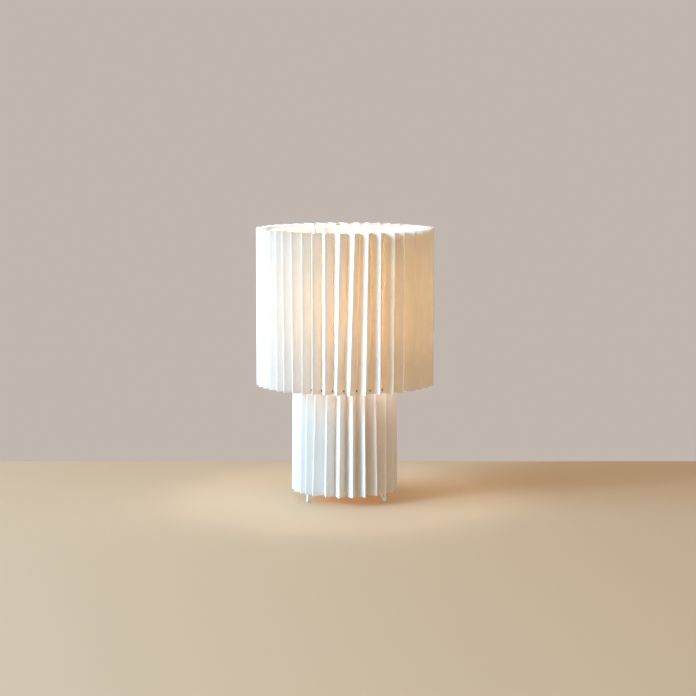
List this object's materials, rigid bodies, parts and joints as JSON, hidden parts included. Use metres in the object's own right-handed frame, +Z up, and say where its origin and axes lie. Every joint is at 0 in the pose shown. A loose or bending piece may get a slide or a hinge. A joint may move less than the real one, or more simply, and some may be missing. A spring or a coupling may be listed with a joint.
{
  "type": "pleated paper table lamp",
  "caption": "Table lamp with a wide pleated paper drum shade over a narrower pleated paper drum base on hairpin wire feet; the shade lifts off and the bulb comes out.",
  "frame": {"origin": "on the lamp's axis, on the table under the feet", "axes": "+Z up along the lamp's axis, -Y the front seen in the picture, +X to the right in the picture"},
  "size_m": [0.2007, 0.2008, 0.3072],
  "materials": {
    "paper": "matte, fine grain",
    "white_wire": "white powder coat",
    "white_plate": "white powder coat",
    "holder_plastic": "smooth moulded",
    "holder_insert": "satin",
    "nickel_shell": "nickel plated",
    "brass": "plain",
    "screw_steel": "zinc plated",
    "bulb_diffuser": "frosted",
    "bulb_plastic": "satin",
    "cap_insulator": "glossy black",
    "board_aluminium": "white solder mask",
    "led_yellow": "phosphor"
  },
  "bodies": {
    "base": {"base_pleats": "paper", "base_top_ring": "white_wire", "base_bottom_ring": "white_wire", "leg_left": "white_wire", "leg_right": "white_wire", "leg_back": "white_wire", "base_plate": "white_plate", "holder_skirt": "holder_plastic", "holder_cap": "holder_plastic", "holder_clamp_ring": "holder_plastic", "holder_insert": "holder_insert", "holder_sleeve": "nickel_shell", "centre_contact": "brass", "terminal_screws": "screw_steel", "inlet_set_screw": "screw_steel", "cord_inlet": "screw_steel"},
    "shade": {"shade_pleats": "paper", "shade_top_ring": "white_wire", "shade_bottom_ring": "white_wire", "shade_seat_ring": "white_wire", "shade_arm_left": "white_wire", "shade_arm_right": "white_wire", "shade_arm_back": "white_wire"},
    "bulb": {"bulb_envelope": "bulb_diffuser", "bulb_housing": "bulb_plastic", "bulb_cap": "nickel_shell", "bulb_insulator": "cap_insulator", "bulb_contact": "brass", "led_board": "board_aluminium", "leds": "led_yellow"}
  },
  "joints": [
    {"name": "shade_lift", "type": "slide", "parent": "base", "child": "shade", "axis": [0, 0, 1], "range_m": [0, 0.115]},
    {"name": "bulb_out", "type": "slide", "parent": "base", "child": "bulb", "axis": [0, 0, 1], "range_m": [0, 0.028]}
  ]
}
